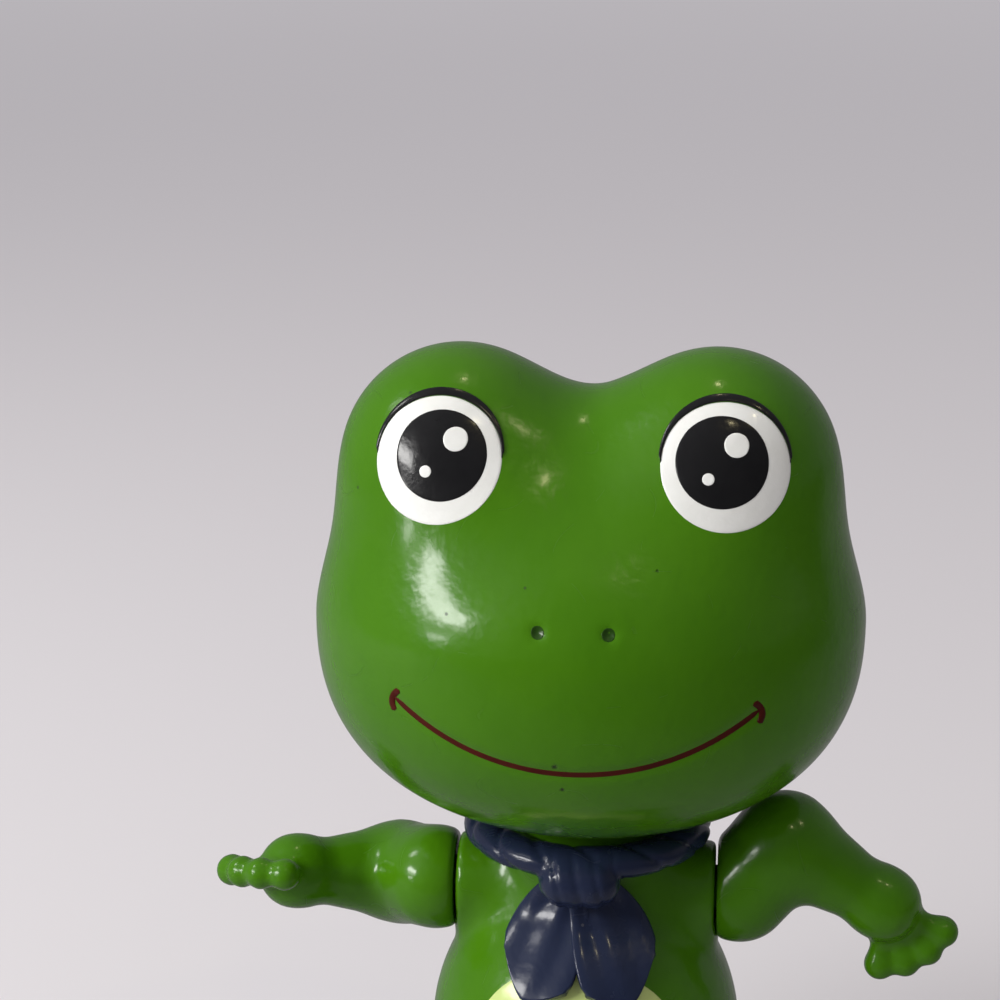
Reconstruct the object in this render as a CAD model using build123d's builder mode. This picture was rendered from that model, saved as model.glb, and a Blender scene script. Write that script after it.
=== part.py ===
from build123d import *

# Frog figurine: a hollow soft-vinyl frog with a big round head, painted eyes and a neckerchief.
# Millimetres, +Z up. The face looks along -Y and the frog's own left is +X. The origin is on
# the floor, on the axis of the neck. Head, torso, arms and legs are separate hollow mouldings
# that pop together: each has a stem with a flange, and the flange turns behind a round hole.

import os
from math import cos, hypot, radians, sin, sqrt

# Every stem, flange and face of a turning joint stands this far from its neighbour.
joint_gap = 0.3
flange_thickness = 2.2

# Torso: a pear that narrows to a short neck. The rises count from its own floor, and the chest
# and the neck are placed from the shoulders.
leg_height = 17.0
torso_base_radius = 23.5
belly_radius = 25.6
belly_rise = 12.0
chest_radius = 16.4
chest_drop = 3.5
neck_radius = 12.9
neck_length = 4.2
neck_over_shoulders = 2.7
torso_wall = 2.4
base_round = 2.0
shoulder_rise = 38.5
shoulder_reach = 21.2
shoulder_radius = 7.8
belly_patch_half_width = 17.0
belly_patch_foot = 2.5
belly_patch_drop = 6.0

# Head: a round bun with an eye mound on each side of the crown and a brow between the mounds.
# A blend is how wide the hollow curve is where two of these forms meet.
neck_reveal = 2.5
head_half_width = 44.0
head_half_depth = 38.0
head_rise = 30.0
head_drop = 34.0
head_wall = 2.4
crown_roundness_share = 2.0
jaw_roundness_share = 2.4
mound_radius = 19.0
mound_spacing = 20.0
mound_forward = 5.0
mound_rise = 25.5
brow_radius = 13.0
brow_drop = 2.0
mound_blend = 13.0
brow_blend = 7.5
heart_rise_share = 0.1
head_sections = 30
head_section_points = 40
neck_collar_radius = 12.4
neck_stem_radius = 8.0
neck_flange_radius = 9.9
neck_bore_radius = 5.6

# Painted face. Each coat is a thin film, and the films lie on each other.
paint_film = 0.2
eye_radius = 9.8
eye_tilt = 15.0
eye_splay = 5.0
pupil_radius = 7.0
pupil_rise = 0.7
pupil_inward = 0.6
glint_radius = 1.9
glint_reach = 3.3
glint_turn = 50.0
small_glint_radius = 0.95
lid_line_width = 1.2
mouth_half_width = 27.0
mouth_corner_drop = 5.5
mouth_sag = 8.6
mouth_line_width = 1.0
dimple_height = 3.6
dimple_lean = 0.8
nostril_spacing = 5.2
nostril_rise = 8.0
nostril_radius = 1.0

# Arms: bent at a raised elbow, each with a round palm and four padded fingers.
limb_wall = 2.0
arm_ball_radius = 8.6
elbow_out = 11.0
elbow_up = 8.3
elbow_radius = 8.2
forearm_length = 15.5
forearm_droop = 31.0
wrist_radius = 5.2
palm_radius = 6.2
finger_count = 4
finger_droop = 58.0
finger_fan = 22.0
finger_reach = 10.8
finger_radius = 2.0
fingertip_radius = 2.6
arm_stem_radius = 4.0
arm_flange_radius = 5.2
limb_bore_radius = 2.6
right_arm_angle = 110.0

# Legs: a short round column on a webbed foot with three toes.
hip_spacing = 13.0
hip_back = 4.0
leg_stem_radius = 5.0
leg_flange_radius = 6.8
ankle_radius = 9.2
calf_radius = 10.4
calf_rise = 9.0
thigh_radius = 9.8
toe_count = 3
toe_reach = 26.0
toe_fan_angle = 20.0
toe_radius = 4.2
toe_ridge_radius = 3.0
web_thickness = 2.6
web_notch_radius = 5.0
foot_angle = 14.0

# Neckerchief: a rolled band round the neck with a knot and two tails on the chest.
scarf_gap = 0.4
scarf_roll_width = 7.0
scarf_roll_height = 5.2
knot_half_width = 5.6
knot_end_radius = 3.2
knot_radius = 4.4
tail_length = 22.0
tail_root_half_width = 2.4
tail_half_width = 6.4
tail_thickness = 2.0
tail_spread = 24.0

# Places that follow from the sizes above.
shoulder_height = leg_height + shoulder_rise
neck_top = shoulder_height + shoulder_radius + neck_over_shoulders
chin = neck_top + neck_reveal
head_middle = chin + head_drop
mound_height = head_middle + mound_rise
shoulder_face = shoulder_reach + joint_gap
hip_face = leg_height - joint_gap
head_heart = (0, -mound_forward / 2, head_middle + head_rise * heart_rise_share)
scarf_middle_radius = neck_radius + scarf_gap + scarf_roll_width / 2
scarf_middle_height = shoulder_height + shoulder_radius + joint_gap + scarf_roll_height / 2


def soft_join(first, second, reach):
    """The smaller of two distances, or less where both are near, so that their forms run together."""
    mix = min(max((1 + (second - first) / reach) / 2, 0), 1)
    return second + (first - second) * mix - reach * mix * (1 - mix)


def head_distance(x, y, z):
    """How far a point is from the outside of the head, less than zero inside it."""
    up, over, out = z - head_middle, z - mound_height, y + mound_forward
    share = crown_roundness_share if up > 0 else jaw_roundness_share
    height = up / head_rise if up > 0 else -up / head_drop
    swell = (hypot(x / head_half_width, y / head_half_depth) ** share + height**share) ** (1 / share)
    bun = hypot(x, y, up) * (1 - 1 / swell)
    past_brow = max(abs(x) - mound_spacing, 0)
    crown = hypot(past_brow, out, over + brow_drop) - brow_radius
    for side in (1, -1):
        mound = hypot(x - side * mound_spacing, out, over) - mound_radius
        crown = soft_join(crown, mound, brow_blend)
    return soft_join(bun, crown, mound_blend)


def head_point(grow, tilt, turn):
    """Where a ray from the middle of the head leaves it, at a tilt towards +X and a turn about X."""
    flat = cos(radians(tilt))
    way = (sin(radians(tilt)), flat * cos(radians(turn)), flat * sin(radians(turn)))
    near, far = 0, head_half_width * 2
    while far - near > joint_gap / 1000:
        reach = (near + far) / 2
        point = [start + reach * step for start, step in zip(head_heart, way)]
        if head_distance(*point) < grow:
            near = reach
        else:
            far = reach
    return tuple(point)


def half_ring(points, first):
    """Half of a ring of points, from one of them on, as a spline that runs on into the other half."""
    spans = len(points) // 2
    places = [Vector(*points[(first + step) % len(points)]) for step in range(-1, spans + 2)]
    ways = [(places[2] - places[0]) / 2, (places[-1] - places[-3]) / 2]
    return Edge.make_spline(places[1:-1], tangents=ways, parameters=range(spans + 1), scale=False)


def head_form(grow):
    """The whole head, swollen by grow: a loft from cheek to cheek through rings of two halves."""
    rings = []
    for section in range(1, head_sections):
        tilt = 180 * section / head_sections - 90
        turns = [360 * place / head_section_points for place in range(head_section_points)]
        points = [head_point(grow, tilt, turn) for turn in turns]
        rings.append(Wire([half_ring(points, 0), half_ring(points, head_section_points // 2)]))
    cheeks = [Vertex(*head_point(grow, tilt, 0)) for tilt in (-90, 90)]
    return Solid.make_loft([cheeks[0], *rings, cheeks[1]])


def torso_form(grow):
    """The torso's pear and neck, swollen by grow."""
    with BuildPart() as form:
        with BuildSketch(Plane.XZ):
            with BuildLine():
                base = (torso_base_radius, leg_height)
                chest = (chest_radius, shoulder_height - chest_drop)
                neck_foot = (neck_radius, neck_top - neck_length)
                Line((0, leg_height), base)
                belly = ThreePointArc(base, (belly_radius, leg_height + belly_rise), chest)
                TangentArc(chest, neck_foot, tangent=belly % 1)
                Line(neck_foot, (neck_radius, neck_top))
                Line((neck_radius, neck_top), (0, neck_top))
                mirror(about=Plane.YZ)
            make_face()
            if grow:
                offset(amount=grow, kind=Kind.INTERSECTION)
            split(bisect_by=Plane.YZ)
        revolve(axis=Axis.Z)
    return form.part


def shell_on(form, under, over):
    """A layer on a form, from the swelling under to the swelling over."""
    outside, inside = form(over), form(under)
    with BuildPart() as shell:
        add(outside)
        add(inside, mode=Mode.SUBTRACT)
    return shell.part


def write(part, name):
    """Names a finished piece and writes it as one STEP file."""
    part.label = name
    export_step(part, f"parts/{name}.step")


os.makedirs("parts", exist_ok=True)

# Head: hollow, with a collar that sits on the neck and a flanged stem that holds it there.
collar_base = neck_top + joint_gap
neck_flange_top = neck_top - torso_wall - joint_gap
neck_flange_base = neck_flange_top - flange_thickness
head_outside, head_inside = head_form(0), head_form(-head_wall)
with BuildPart() as head:
    add(head_outside)
    add(head_inside, mode=Mode.SUBTRACT)
    with BuildSketch(Plane.XY.offset(collar_base)):
        Circle(neck_collar_radius)
    extrude(amount=chin + head_wall / 2 - collar_base)
    with BuildSketch(Plane.XY.offset(neck_flange_base)):
        Circle(neck_flange_radius)
    extrude(amount=flange_thickness)
    with BuildSketch(Plane.XY.offset(neck_flange_top)):
        Circle(neck_stem_radius)
    extrude(amount=collar_base - neck_flange_top)
    with BuildSketch(Plane.XY.offset(neck_flange_base)):
        Circle(neck_bore_radius)
    extrude(amount=head_middle - neck_flange_base, mode=Mode.SUBTRACT)
write(head.part, "head")


def eye_plane(side):
    """The plane of an eye's painting: its normal is the way that the eye looks."""
    splay, tilt = radians(eye_splay), radians(eye_tilt)
    gaze = (side * sin(splay) * cos(tilt), -cos(splay) * cos(tilt), sin(tilt))
    middle = (side * mound_spacing, -mound_forward, mound_height)
    return Plane(origin=middle, x_dir=(cos(splay), side * sin(splay), 0), z_dir=gaze)


# Eyes: a white disc with a lid line over it, then a black pupil, then two white glints.
eye_reach = mound_radius * 2
first, second, third = [shell_on(head_form, paint_film * coat, paint_film * (coat + 1)) for coat in range(3)]
for side, name in ((1, "left"), (-1, "right")):
    plane = eye_plane(side)
    pupil_place = (-side * pupil_inward, pupil_rise)
    with BuildPart() as eye_white:
        with BuildSketch(plane):
            Circle(eye_radius)
        extrude(amount=eye_reach)
        add(first, mode=Mode.INTERSECT)
    write(eye_white.part, f"{name}_eye_white")
    with BuildPart() as lid_line:
        with BuildSketch(plane):
            with Locations((0, lid_line_width)):
                Circle(eye_radius)
            Circle(eye_radius, mode=Mode.SUBTRACT)
        extrude(amount=eye_reach)
        add(first, mode=Mode.INTERSECT)
    write(lid_line.part, f"{name}_lid_line")
    with BuildPart() as pupil:
        with BuildSketch(plane):
            with Locations(pupil_place):
                Circle(pupil_radius)
        extrude(amount=eye_reach)
        add(second, mode=Mode.INTERSECT)
    write(pupil.part, f"{name}_pupil")
    with BuildPart() as glints:
        with BuildSketch(plane):
            with Locations(pupil_place):
                with PolarLocations(glint_reach, 1, start_angle=glint_turn):
                    Circle(glint_radius)
                with PolarLocations(glint_reach, 1, start_angle=glint_turn + 180):
                    Circle(small_glint_radius)
        extrude(amount=eye_reach)
        add(third, mode=Mode.INTERSECT)
    write(glints.part, f"{name}_glints")

# Mouth and nostrils: one coat of paint.
mouth_corner_height = head_middle - mouth_corner_drop
with BuildPart() as mouth:
    with BuildSketch(Plane.XZ):
        with BuildLine():
            ThreePointArc(
                (-mouth_half_width, mouth_corner_height),
                (0, mouth_corner_height - mouth_sag),
                (mouth_half_width, mouth_corner_height),
            )
        trace(line_width=mouth_line_width)
        for side in (1, -1):
            with BuildLine():
                ThreePointArc(
                    (side * (mouth_half_width - dimple_lean), mouth_corner_height + dimple_height / 2),
                    (side * (mouth_half_width + dimple_lean), mouth_corner_height),
                    (side * (mouth_half_width + dimple_lean), mouth_corner_height - dimple_height / 2),
                )
            trace(line_width=mouth_line_width)
    extrude(amount=head_half_depth * 2)
    add(first, mode=Mode.INTERSECT)
write(mouth.part, "mouth_line")
with BuildPart() as nostrils:
    with BuildSketch(Plane.XZ):
        with Locations(*[(side * nostril_spacing, head_middle + nostril_rise) for side in (1, -1)]):
            Circle(nostril_radius)
    extrude(amount=head_half_depth * 2)
    add(first, mode=Mode.INTERSECT)
write(nostrils.part, "nostrils")

# Torso: hollow, with a pad and a round hole for each arm, and holes for the neck and the legs.
arm_flange_face = shoulder_reach - torso_wall - joint_gap
torso_outside, torso_inside = torso_form(0), torso_form(-torso_wall)
with BuildPart() as torso:
    add(torso_outside)
    fillet(torso.edges().group_by(Axis.Z)[0], radius=base_round)
    for side in (1, -1):
        with BuildSketch(Plane.YZ.offset(side * shoulder_reach)):
            with Locations((0, shoulder_height)):
                Circle(shoulder_radius)
        extrude(amount=-side * shoulder_reach)
    add(torso_inside, mode=Mode.SUBTRACT)
    for side in (1, -1):
        with BuildSketch(Plane.YZ.offset(side * (shoulder_reach - torso_wall))):
            with Locations((0, shoulder_height)):
                Circle(arm_flange_radius + joint_gap)
        extrude(amount=-side * (shoulder_reach - torso_wall), mode=Mode.SUBTRACT)
        with BuildSketch(Plane.YZ.offset(side * shoulder_reach)):
            with Locations((0, shoulder_height)):
                Circle(arm_stem_radius + joint_gap)
        extrude(amount=-side * shoulder_reach, mode=Mode.SUBTRACT)
    with BuildSketch(Plane.XY.offset(neck_top)):
        Circle(neck_stem_radius + joint_gap)
    extrude(amount=-2 * torso_wall, mode=Mode.SUBTRACT)
    with BuildSketch(Plane.XY.offset(leg_height)):
        with Locations(*[(side * hip_spacing, hip_back) for side in (1, -1)]):
            Circle(leg_stem_radius + joint_gap)
    extrude(amount=2 * torso_wall, mode=Mode.SUBTRACT)
write(torso.part, "torso")

# Belly patch: one coat of pale paint on the torso, up to a little below the shoulders.
torso_coat = shell_on(torso_form, 0, paint_film)
belly_patch_base = leg_height + belly_patch_foot
belly_patch_half_height = (shoulder_height - belly_patch_drop - belly_patch_base) / 2
with BuildPart() as belly_patch:
    with BuildSketch(Plane.XZ):
        with Locations((0, belly_patch_base + belly_patch_half_height)):
            Ellipse(belly_patch_half_width, belly_patch_half_height)
    extrude(amount=belly_radius * 2)
    add(torso_coat, mode=Mode.INTERSECT)
write(belly_patch.part, "belly_patch")


def arm_form(wall):
    """An arm without its fingers and stem, as thick as it is, or thinner by a wall all round.

    Its shoulder face is on the plane YZ, with the middle of the joint on the origin.
    """
    droop = radians(forearm_droop)
    forearm = Vector(cos(droop), 0, -sin(droop))
    ball = Vector(sqrt(arm_ball_radius**2 - shoulder_radius**2), 0, 0)
    elbow = Vector(elbow_out, 0, elbow_up)
    palm = elbow + forearm * (forearm_length + sqrt(palm_radius**2 - wrist_radius**2))
    upper = Plane(origin=ball, z_dir=elbow - ball)
    lower = Plane(origin=elbow, z_dir=forearm)
    upper_length = (elbow - ball).length
    with BuildPart() as form:
        with Locations(ball):
            Sphere(arm_ball_radius - wall)
        with Locations(elbow):
            Sphere(elbow_radius - wall)
        with Locations(palm):
            Sphere(palm_radius - wall)
        with Locations(upper.offset(upper_length / 2)):
            Cone(arm_ball_radius - wall, elbow_radius - wall, upper_length)
        with Locations(lower.offset(forearm_length / 2)):
            Cone(elbow_radius - wall, wrist_radius - wall, forearm_length)
        split(bisect_by=Plane.YZ.offset(wall))
    return form.part, palm


# Arm: hollow, with solid fingers and a flanged stem. The left one, about its own shoulder.
arm_outside, palm_middle = arm_form(0)
arm_inside, _ = arm_form(limb_wall)
stem_start = arm_flange_face - flange_thickness - shoulder_face
with BuildPart() as arm:
    add(arm_outside)
    for finger in range(finger_count):
        turn = radians(finger_droop + finger_fan * (finger - (finger_count - 1) / 2))
        point = Vector(cos(turn), 0, -sin(turn))
        with Locations(Plane(origin=palm_middle + point * (finger_reach / 2), z_dir=point)):
            Cylinder(finger_radius, finger_reach)
        with Locations(palm_middle + point * finger_reach):
            Sphere(fingertip_radius)
    add(arm_inside, mode=Mode.SUBTRACT)
    with BuildSketch(Plane.YZ.offset(stem_start)):
        Circle(arm_flange_radius)
    extrude(amount=flange_thickness)
    with BuildSketch(Plane.YZ.offset(stem_start)):
        Circle(arm_stem_radius)
    extrude(amount=-stem_start)
    with BuildSketch(Plane.YZ.offset(stem_start)):
        Circle(limb_bore_radius)
    extrude(amount=limb_wall * 2 - stem_start, mode=Mode.SUBTRACT)

# The right arm is the left one's mirror image, swung about its shoulder.
mirrored_arm = mirror(arm.part, about=Plane.YZ, mode=Mode.PRIVATE)
with BuildPart() as left_arm:
    with Locations((shoulder_face, 0, shoulder_height)):
        add(arm.part)
write(left_arm.part, "left_arm")
with BuildPart() as right_arm:
    with Locations(Location((-shoulder_face, 0, shoulder_height), (-right_arm_angle, 0, 0))):
        add(mirrored_arm)
write(right_arm.part, "right_arm")


def leg_column(wall):
    """The leg's round column, as thick as it is, or thinner by a wall all round."""
    with BuildPart() as form:
        with BuildSketch(Plane.XZ):
            with BuildLine():
                foot = (ankle_radius - wall, wall)
                hip = (thigh_radius - wall, hip_face - wall)
                ThreePointArc(foot, (calf_radius - wall, calf_rise), hip)
                Polyline(hip, (0, hip_face - wall), (0, wall), foot)
            make_face()
        revolve(axis=Axis.Z)
    return form.part


# Leg: a hollow column with a flanged stem, on a solid webbed foot. The foot points along -Y.
leg_flange_base = leg_height + torso_wall + joint_gap
leg_flange_top = leg_flange_base + flange_thickness
toe_turns = [toe_fan_angle * (toe - (toe_count - 1) / 2) - 90 for toe in range(toe_count)]
column_outside, column_inside = leg_column(0), leg_column(limb_wall)
with BuildPart() as leg:
    with BuildSketch():
        Circle(ankle_radius)
        for turn in toe_turns:
            with PolarLocations(toe_reach, 1, start_angle=turn):
                Circle(toe_ridge_radius)
        make_hull()
        for turn in toe_turns[1:]:
            with PolarLocations(toe_reach + toe_radius, 1, start_angle=turn - toe_fan_angle / 2):
                Circle(web_notch_radius, mode=Mode.SUBTRACT)
    extrude(amount=web_thickness)
    for turn in toe_turns:
        along_toe = Vector(cos(radians(turn)), sin(radians(turn)), 0)
        toe_start = Plane(origin=(0, 0, toe_ridge_radius / 2), z_dir=along_toe)
        with Locations(toe_start.offset(toe_reach / 2)):
            Cylinder(toe_ridge_radius, toe_reach)
        with Locations(toe_start.offset(toe_reach)):
            Sphere(toe_radius)
    split(bisect_by=Plane.XY)
    add(column_outside)
    add(column_inside, mode=Mode.SUBTRACT)
    with BuildSketch(Plane.XY.offset(leg_flange_base)):
        Circle(leg_flange_radius)
    extrude(amount=flange_thickness)
    with BuildSketch(Plane.XY.offset(hip_face)):
        Circle(leg_stem_radius)
    extrude(amount=leg_flange_base - hip_face)
    with BuildSketch(Plane.XY.offset(leg_flange_top)):
        Circle(limb_bore_radius)
    extrude(amount=hip_face - leg_flange_top - limb_wall * 2, mode=Mode.SUBTRACT)
for side, name in ((1, "left"), (-1, "right")):
    with BuildPart() as placed_leg:
        with Locations(Location((side * hip_spacing, hip_back, 0), (0, 0, side * foot_angle))):
            add(leg.part)
    write(placed_leg.part, f"{name}_leg")

# Neckerchief: one soft moulding. Its tails are cut from a layer that follows the chest.
chest_layer = shell_on(torso_form, scarf_gap, scarf_gap + tail_thickness)
tail_root_height = scarf_middle_height - scarf_roll_height / 4
with BuildPart() as tails:
    with BuildSketch(Plane.XZ):
        for side in (1, -1):
            with Locations(Location((0, tail_root_height, 0), (0, 0, side * tail_spread))):
                Polygon(
                    (-tail_root_half_width, 0),
                    (-tail_half_width, -tail_length * 3 / 4),
                    (0, -tail_length),
                    (tail_half_width, -tail_length * 3 / 4),
                    (tail_root_half_width, 0),
                    align=None,
                )
    extrude(amount=belly_radius * 2)
    add(chest_layer, mode=Mode.INTERSECT)
knot_height = scarf_middle_height - scarf_roll_height / 2
knot_out = neck_radius + scarf_gap + knot_radius
with BuildPart() as neckerchief:
    with BuildSketch(Plane.XZ):
        with Locations((scarf_middle_radius, scarf_middle_height)):
            Ellipse(scarf_roll_width / 2, scarf_roll_height / 2)
    revolve(axis=Axis.Z)
    add(tails.part)
    with BuildSketch(Plane.XY.offset(knot_height)):
        with BuildLine():
            ends = [(side * knot_half_width, -knot_out - knot_end_radius) for side in (-1, 1)]
            ThreePointArc(ends[0], (0, -knot_out - knot_radius), ends[1])
            Line(ends[1], (knot_half_width, -knot_out))
            Line((knot_half_width, -knot_out), (-knot_half_width, -knot_out))
            Line((-knot_half_width, -knot_out), ends[0])
        make_face()
    revolve(axis=Axis((0, -knot_out, knot_height), (1, 0, 0)))
write(neckerchief.part, "neckerchief")
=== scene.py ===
"""Frog figurine: the looks of a glossy soft-vinyl frog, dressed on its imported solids.

The mouldings are drawn in millimetres as smooth unions of simple forms. A rough mesh of each is
settled onto its form, and is scaled to metres once, when it becomes a piece. The face looks along
-Y, the frog's own left is +X, and the origin is on the floor under the neck.
"""

from __future__ import annotations

import logging
from dataclasses import dataclass
from enum import Enum
from math import atan2, cos, pi, radians, sin, sqrt, tan
from typing import Callable, Sequence

import bmesh
import bpy
import numpy as np
from mathutils import Matrix, Vector


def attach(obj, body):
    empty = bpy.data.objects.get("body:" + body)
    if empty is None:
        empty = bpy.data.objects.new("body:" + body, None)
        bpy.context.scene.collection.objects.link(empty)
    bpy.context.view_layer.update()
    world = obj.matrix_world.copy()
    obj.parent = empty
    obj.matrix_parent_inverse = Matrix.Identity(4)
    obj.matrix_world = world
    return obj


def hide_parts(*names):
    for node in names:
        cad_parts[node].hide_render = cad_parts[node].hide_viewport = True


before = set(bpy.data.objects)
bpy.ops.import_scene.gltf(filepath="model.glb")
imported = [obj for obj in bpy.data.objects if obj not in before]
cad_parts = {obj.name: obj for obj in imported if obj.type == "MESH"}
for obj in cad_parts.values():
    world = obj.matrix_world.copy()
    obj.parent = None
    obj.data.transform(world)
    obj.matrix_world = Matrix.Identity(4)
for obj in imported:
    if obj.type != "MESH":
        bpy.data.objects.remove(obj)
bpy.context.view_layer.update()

log = logging.getLogger("frog")
MM = 0.001
STEM_SPANS = 40
Point = Sequence[float]
Colour = tuple[float, float, float, float]
Array = np.ndarray
BMesh = bmesh.types.BMesh
Drawing = Callable[[Array, Array], Array]
Line = Callable[[Array], tuple[Array, Array]]


class Side(Enum):
    """A side of the frog, with the sign of its X."""

    LEFT = 1
    RIGHT = -1

    @property
    def word(self) -> str:
        """The side's name as the nodes spell it."""
        return self.name.lower()


def soft_union(first: Array, second: Array, reach: float) -> Array:
    """Joins two forms with a hollow curve between them.

    Args:
        first: Distances to the first form, in millimetres.
        second: Distances to the second form.
        reach: How wide the curve between them is.

    Returns:
        The distances to the joined form.
    """
    mix = np.clip(0.5 + 0.5 * (second - first) / reach, 0, 1)
    return second + (first - second) * mix - reach * mix * (1 - mix)


class Form:
    """A solid form, given by its distance from any point, in millimetres."""

    def distance(self, points: Array) -> Array:
        """The distance of each point from the form, less than zero inside."""
        raise NotImplementedError

    def rough(self, bm: BMesh) -> None:
        """Adds a rough closed mesh of the form."""
        raise NotImplementedError

    def slope(self, points: Array, step: float = 0.02) -> Array:
        """The way in which the distance grows at each point.

        Args:
            points: The points, one in each row.
            step: How far apart the distances are taken.

        Returns:
            One vector for each point, about one long near the surface.
        """
        shifts = np.eye(3) * step
        rises = [self.distance(points + shift) - self.distance(points - shift) for shift in shifts]
        return np.stack(rises, axis=1) / (2 * step)

    def settle(self, points: Array, rounds: int = 4) -> Array:
        """Moves points near the form onto its surface.

        Args:
            points: The points, one in each row.
            rounds: How many times each point is moved.

        Returns:
            The points on the surface.
        """
        for _ in range(rounds):
            slope = self.slope(points)
            size = np.maximum((slope**2).sum(axis=1), 0.05)
            points = points - slope * (self.distance(points) / size)[:, None]
        return points

    def landing(self, points: Array, way: Point, lift: Array, rounds: int = 60, stride: float = 0.8) -> Array:
        """Where points that fly one way come near the form.

        Args:
            points: The points' starts, one in each row.
            way: The way they fly, one long.
            lift: How far above the form each point stops.
            rounds: How many strides they take.
            stride: How much of the distance left a stride covers.

        Returns:
            The points where they stop.
        """
        for _ in range(rounds):
            points = points + np.array(way) * ((self.distance(points) - lift) * stride)[:, None]
        return points


@dataclass(frozen=True)
class Ball(Form):
    """A ball."""

    centre: Point
    radius: float

    def distance(self, points: Array) -> Array:
        """The distance of each point from the ball."""
        return np.linalg.norm(points - np.array(self.centre), axis=1) - self.radius

    def rough(self, bm: BMesh) -> None:
        """Adds the ball."""
        place = Matrix.Translation(self.centre)
        bmesh.ops.create_icosphere(bm, subdivisions=3, radius=self.radius, matrix=place)


@dataclass(frozen=True)
class Taper(Form):
    """A round bar with ball ends, thicker at one end, and flatter than it is wide if squash is under 1."""

    start: Point
    end: Point
    start_radius: float
    end_radius: float
    squash: float = 1.0

    def distance(self, points: Array) -> Array:
        """The distance of each point from the bar."""
        flat = np.array([1, 1, 1 / self.squash])
        start, end, points = np.array(self.start) * flat, np.array(self.end) * flat, points * flat
        along = end - start
        share = np.clip((points - start) @ along / (along @ along), 0, 1)
        radius = self.start_radius + (self.end_radius - self.start_radius) * share
        return (np.linalg.norm(points - start - share[:, None] * along, axis=1) - radius) * self.squash

    def rough(self, bm: BMesh) -> None:
        """Adds a cone and its ball ends."""
        start, end = Vector(self.start), Vector(self.end)
        turn = Vector((0, 0, 1)).rotation_difference(end - start).to_matrix().to_4x4()
        flatten = Matrix.Diagonal((1, 1, self.squash, 1))
        place = Matrix.Translation((start + end) / 2) @ flatten @ turn
        first, last, depth = self.start_radius, self.end_radius, (end - start).length
        bmesh.ops.create_cone(
            bm, cap_ends=True, segments=32, radius1=first, radius2=last, depth=depth, matrix=place
        )
        for point, radius in ((start, first), (end, last)):
            place = Matrix.Translation(point) @ flatten
            bmesh.ops.create_icosphere(bm, subdivisions=3, radius=radius, matrix=place)


@dataclass(frozen=True)
class Drum(Form):
    """A round disc or bar with flat ends, lying along X, with a rounded rim."""

    centre: Point
    radius: float
    half_length: float
    rim: float

    def distance(self, points: Array) -> Array:
        """The distance of each point from the drum."""
        away = points - np.array(self.centre)
        across = np.linalg.norm(away[:, 1:], axis=1) - self.radius + self.rim
        along = np.abs(away[:, 0]) - self.half_length + self.rim
        outside = np.linalg.norm(np.maximum(np.stack([across, along], axis=1), 0), axis=1)
        return outside + np.minimum(np.maximum(across, along), 0) - self.rim

    def rough(self, bm: BMesh) -> None:
        """Adds a cylinder."""
        place = Matrix.Translation(self.centre) @ Matrix.Rotation(pi / 2, 4, "Y")
        radius, depth = self.radius, self.half_length * 2
        bmesh.ops.create_cone(
            bm, cap_ends=True, segments=48, radius1=radius, radius2=radius, depth=depth, matrix=place
        )


@dataclass(frozen=True)
class Turned(Form):
    """A form turned about Z from an outline of (radius, height) points that starts and ends on Z."""

    outline: tuple[tuple[float, float], ...]
    centre: Point = (0, 0, 0)

    def distance(self, points: Array) -> Array:
        """The distance of each point from the turned form."""
        away = points - np.array(self.centre)
        flat = np.stack([np.hypot(away[:, 0], away[:, 1]), away[:, 2]], axis=1)
        nearest = np.full(len(flat), np.inf)
        inside = np.zeros(len(flat), bool)
        for start, end in zip(self.outline[:-1], self.outline[1:]):
            start, edge = np.array(start), np.array(end) - np.array(start)
            share = np.clip((flat - start) @ edge / (edge @ edge), 0, 1)
            nearest = np.minimum(nearest, np.linalg.norm(flat - start - share[:, None] * edge, axis=1))
            crosses = (start[1] > flat[:, 1]) != (start[1] + edge[1] > flat[:, 1])
            if edge[1]:
                reach = start[0] + edge[0] * (flat[:, 1] - start[1]) / edge[1]
                inside ^= crosses & (flat[:, 0] < reach)
        return np.where(inside, -nearest, nearest)

    def rough(self, bm: BMesh) -> None:
        """Spins the outline."""
        spin_outline(bm, self.outline, self.centre)


@dataclass(frozen=True)
class Bun(Form):
    """The head without its mounds: an oval in plan, rounder above its widest place than below it."""

    centre: Point
    half_width: float
    half_depth: float
    rise: float
    drop: float
    crown_power: float
    jaw_power: float

    def distance(self, points: Array) -> Array:
        """About the distance of each point from the bun."""
        away = points - np.array(self.centre)
        across = np.hypot(away[:, 0] / self.half_width, away[:, 1] / self.half_depth)
        above = away[:, 2] > 0
        up = np.abs(away[:, 2]) / np.where(above, self.rise, self.drop)
        power = np.where(above, self.crown_power, self.jaw_power)
        share = np.maximum((across**power + up**power) ** (1 / power), 0.05)
        return np.linalg.norm(away, axis=1) * (1 - 1 / share)

    def rough(self, bm: BMesh) -> None:
        """Adds a squashed ball."""
        size = Matrix.Diagonal((self.half_width, self.half_depth, self.drop, 1))
        place = Matrix.Translation(self.centre) @ size
        bmesh.ops.create_icosphere(bm, subdivisions=4, radius=1, matrix=place)


@dataclass(frozen=True)
class Joined(Form):
    """Several forms joined softly, one after the other."""

    forms: tuple[Form, ...]
    reach: float

    def distance(self, points: Array) -> Array:
        """The distance of each point from the joined forms."""
        total = self.forms[0].distance(points)
        for form in self.forms[1:]:
            total = soft_union(total, form.distance(points), self.reach)
        return total

    def rough(self, bm: BMesh) -> None:
        """Adds the rough mesh of each form."""
        for form in self.forms:
            form.rough(bm)


@dataclass(frozen=True)
class Carved(Form):
    """A form of which something is taken away, made from the same rough mesh."""

    form: Form

    def rough(self, bm: BMesh) -> None:
        """Adds the form's rough mesh."""
        self.form.rough(bm)


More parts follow.
